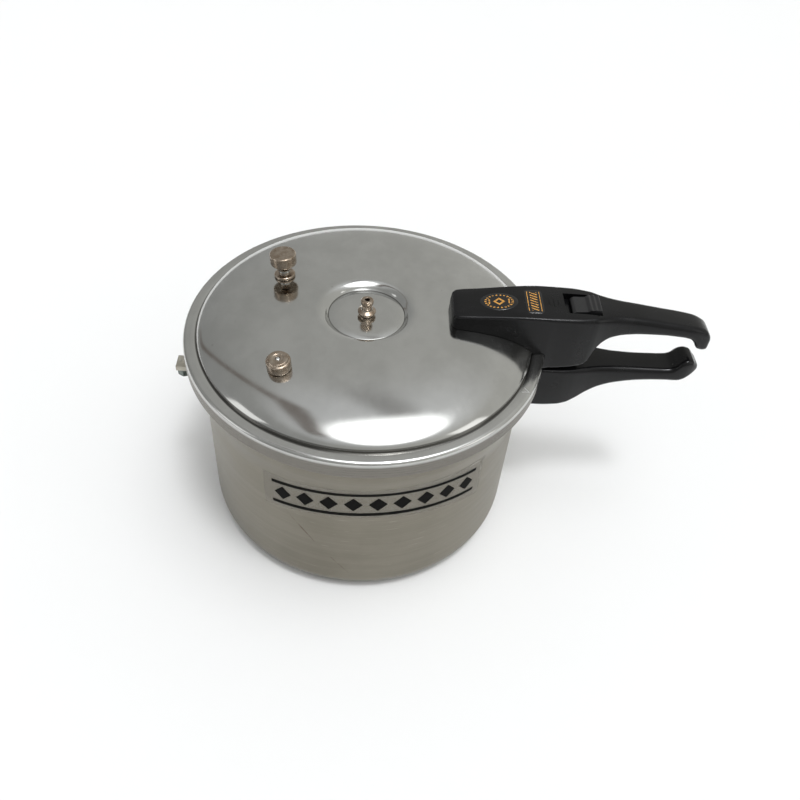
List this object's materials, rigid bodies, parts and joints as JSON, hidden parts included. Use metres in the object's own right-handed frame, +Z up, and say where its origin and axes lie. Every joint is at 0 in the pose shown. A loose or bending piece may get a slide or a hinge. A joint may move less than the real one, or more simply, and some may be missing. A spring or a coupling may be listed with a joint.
{
  "type": "stovetop pressure cooker",
  "caption": "Aluminium stovetop pressure cooker with a twist-lock domed lid, twin long handles, a vent pipe, a spring relief valve and a fusible plug.",
  "frame": {"origin": "centre of the pot's flat resting face, on the axis of the pot", "axes": "+Z up along the pot's axis, +X out along the two long handles, the resting face looks along -Z"},
  "size_m": [0.4077, 0.27, 0.2052],
  "materials": {
    "pot_aluminium": "satin",
    "lid_aluminium": "polished",
    "cast_aluminium": "matte",
    "rivet_aluminium": "satin",
    "nickel_brass": "polished",
    "fuse_tin": "satin",
    "zinc_steel": "matte",
    "plated_steel": "polished",
    "phenolic": "semi-gloss",
    "button_plastic": "satin",
    "seal_rubber": "matte",
    "fibre": "matte"
  },
  "bodies": {
    "pot": {"pot_shell": "pot_aluminium", "pot_handle_bracket": "cast_aluminium", "pot_handle_rivet_1": "rivet_aluminium", "pot_handle_rivet_2": "rivet_aluminium", "pot_handle": "phenolic", "pot_handle_screw": "plated_steel", "helper_bracket": "cast_aluminium", "helper_rivet_1": "rivet_aluminium", "helper_rivet_2": "rivet_aluminium", "helper_bolt": "zinc_steel", "helper_washer": "zinc_steel"},
    "seal": {"sealing_ring": "seal_rubber"},
    "lid": {"lid_shell": "lid_aluminium", "vent_pipe": "nickel_brass", "vent_washer": "fibre", "vent_nut": "nickel_brass", "relief_seat": "nickel_brass", "relief_washer": "fibre", "relief_nut": "nickel_brass", "relief_spring": "plated_steel", "fuse_plug": "nickel_brass", "fuse_alloy": "fuse_tin", "fuse_washer": "fibre", "fuse_nut": "nickel_brass", "lid_handle": "phenolic", "lid_handle_screw_1": "plated_steel", "lid_handle_screw_2": "plated_steel", "lid_handle_washer_1": "plated_steel", "lid_handle_washer_2": "plated_steel"},
    "lock": {"lock_bar": "plated_steel", "lock_button": "button_plastic"},
    "relief": {"relief_stem": "nickel_brass", "relief_knob": "nickel_brass", "relief_retainer": "plated_steel"}
  },
  "joints": [
    {"name": "lid_lift", "type": "slide", "parent": "pot", "child": "seal", "axis": [0, 0, 1], "range_m": [0, 0.15]},
    {"name": "lid_turn", "type": "hinge", "parent": "seal", "child": "lid", "pos_m": [0, 0, 0.166], "axis": [0, 0, 1], "range_deg": [0, 22.5]},
    {"name": "lock_slide", "type": "slide", "parent": "lid", "child": "lock", "axis": [-1, 0, 0], "range_m": [0, 0.005]},
    {"name": "relief_lift", "type": "slide", "parent": "lid", "child": "relief", "axis": [-0.05, 0.0289, 0.9983], "range_m": [0, 0.004], "stiffness_N_per_m": 400, "springref_m": -0.004, "deforming": ["relief_spring"]}
  ]
}
